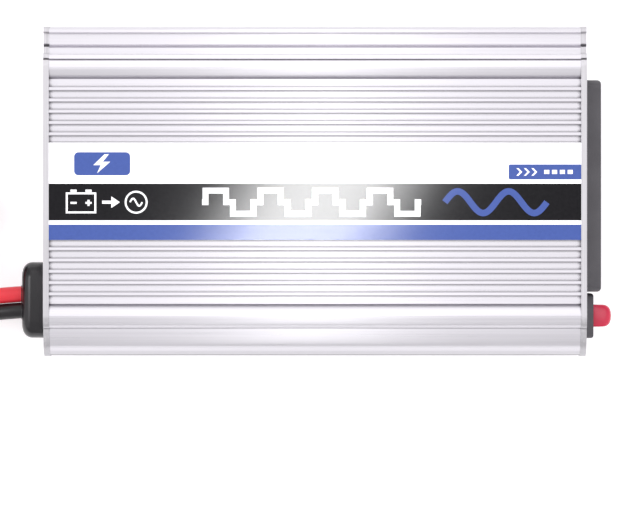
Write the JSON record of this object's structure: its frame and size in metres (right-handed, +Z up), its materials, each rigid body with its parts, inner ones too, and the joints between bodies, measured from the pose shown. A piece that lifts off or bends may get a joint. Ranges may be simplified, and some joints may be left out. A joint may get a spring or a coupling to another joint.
{
  "type": "power inverter",
  "caption": "Box-shaped car power inverter in a ribbed aluminium case, with an AC outlet, rocker switch and charging port on one end and a fan and two clip-ended battery leads on the other.",
  "frame": {"origin": "centre of the base face that the case stands on, midway between the outer faces of the two end plates", "axes": "+X along the case towards the end with the AC outlet, +Y towards the side with the mounting channel, +Z up out of the labelled face"},
  "size_m": [0.3602, 0.0974, 0.056],
  "materials": {
    "case_aluminium": "silver anodised extrusion, fine drawn lines",
    "plate_aluminium": "silver, brushed",
    "label_film": "white printed film with dark and blue bands",
    "screw_steel": "bright zinc plated",
    "grey_plastic": "fine moulded grain, satin",
    "contact_brass": "bright",
    "usb_steel": "nickel plated",
    "white_plastic": "moulded",
    "green_lens": "clear tinted epoxy",
    "red_lens": "clear tinted epoxy",
    "board_green": "solder mask",
    "red_rocker": "polished, moulded",
    "gland_rubber": "satin black",
    "red_pvc": "satin PVC sleeve",
    "black_pvc": "satin PVC sleeve",
    "tie_plastic": "black nylon",
    "copper_wire": "stranded copper in sleeve",
    "clip_steel": "nickel plated pressed steel",
    "spring_steel": "oiled spring wire",
    "red_grip": "dipped PVC",
    "black_grip": "dipped PVC",
    "fan_plastic": "moulded",
    "ferrite": "ground ferrite",
    "ferrite_yellow": "powder coated ring core",
    "winding_copper": "enamelled copper",
    "capacitor_sleeve": "shrink sleeve",
    "chip_epoxy": "moulded epoxy",
    "fuse_yellow": "tinted clear",
    "wire_pvc": "PVC sleeve"
  },
  "bodies": {
    "case": {"top_shell": "case_aluminium", "base_shell": "case_aluminium", "label": "label_film", "dc_end_plate": "plate_aluminium", "ac_end_plate": "plate_aluminium", "dc_plate_screws": "screw_steel", "ac_plate_screws": "screw_steel", "socket_panel": "grey_plastic", "socket_body": "grey_plastic", "line_contacts": "contact_brass", "earth_contact": "contact_brass", "panel_screws": "screw_steel", "usb_shell": "usb_steel", "usb_tongue": "white_plastic", "power_led": "green_lens", "fault_led": "red_lens", "front_board": "board_green", "switch_housing": "grey_plastic", "switch_terminals": "contact_brass", "cable_gland": "gland_rubber", "red_lead": "red_pvc", "black_lead": "black_pvc", "red_lead_tail": "red_pvc", "black_lead_tail": "black_pvc", "red_coil": "red_pvc", "black_coil": "black_pvc", "coil_tie": "tie_plastic", "lead_ends": "copper_wire", "dc_terminals": "contact_brass", "red_clip_fixed_half": "clip_steel", "red_clip_pin": "screw_steel", "red_clip_spring": "spring_steel", "red_clip_fixed_grip": "red_grip", "black_clip_fixed_half": "clip_steel", "black_clip_pin": "screw_steel", "black_clip_spring": "spring_steel", "black_clip_fixed_grip": "black_grip", "fan_frame": "fan_plastic", "fan_screws": "screw_steel", "main_board": "board_green", "transformer_core": "ferrite", "transformer_winding": "winding_copper", "input_capacitors": "capacitor_sleeve", "output_capacitor": "capacitor_sleeve", "choke_core": "ferrite_yellow", "choke_winding": "winding_copper", "input_transistors": "chip_epoxy", "output_transistors": "chip_epoxy", "transistor_clamps": "plate_aluminium", "fuse_holder": "fan_plastic", "blade_fuses": "fuse_yellow", "control_board": "board_green", "buzzer": "fan_plastic", "inner_wires": "wire_pvc"},
    "rocker": {"switch_rocker": "red_rocker"},
    "fan_blades": {"fan_rotor": "fan_plastic"},
    "red_jaw": {"red_clip_moving_half": "clip_steel", "red_clip_moving_grip": "red_grip"},
    "black_jaw": {"black_clip_moving_half": "clip_steel", "black_clip_moving_grip": "black_grip"}
  },
  "joints": [
    {"name": "rocker_hinge", "type": "hinge", "parent": "case", "child": "rocker", "pos_m": [0.0795, -0.03675, 0.0285], "axis": [0, 1, 0], "range_deg": [-24, 0]},
    {"name": "fan_spin", "type": "hinge", "parent": "case", "child": "fan_blades", "pos_m": [-0.0733, 0.016, 0.028], "axis": [1, 0, 0], "continuous": true},
    {"name": "red_jaw_hinge", "type": "hinge", "parent": "case", "child": "red_jaw", "pos_m": [-0.247, 0.0175, 0.0065], "axis": [0, 0, 1], "range_deg": [0, 25], "stiffness_Nm_per_rad": 0.05, "springref_deg": -20.05, "deforming": ["red_clip_spring"]},
    {"name": "black_jaw_hinge", "type": "hinge", "parent": "case", "child": "black_jaw", "pos_m": [-0.247, -0.0205, 0.0065], "axis": [0, 0, -1], "range_deg": [0, 25], "stiffness_Nm_per_rad": 0.05, "springref_deg": -20.05, "deforming": ["black_clip_spring"]}
  ]
}
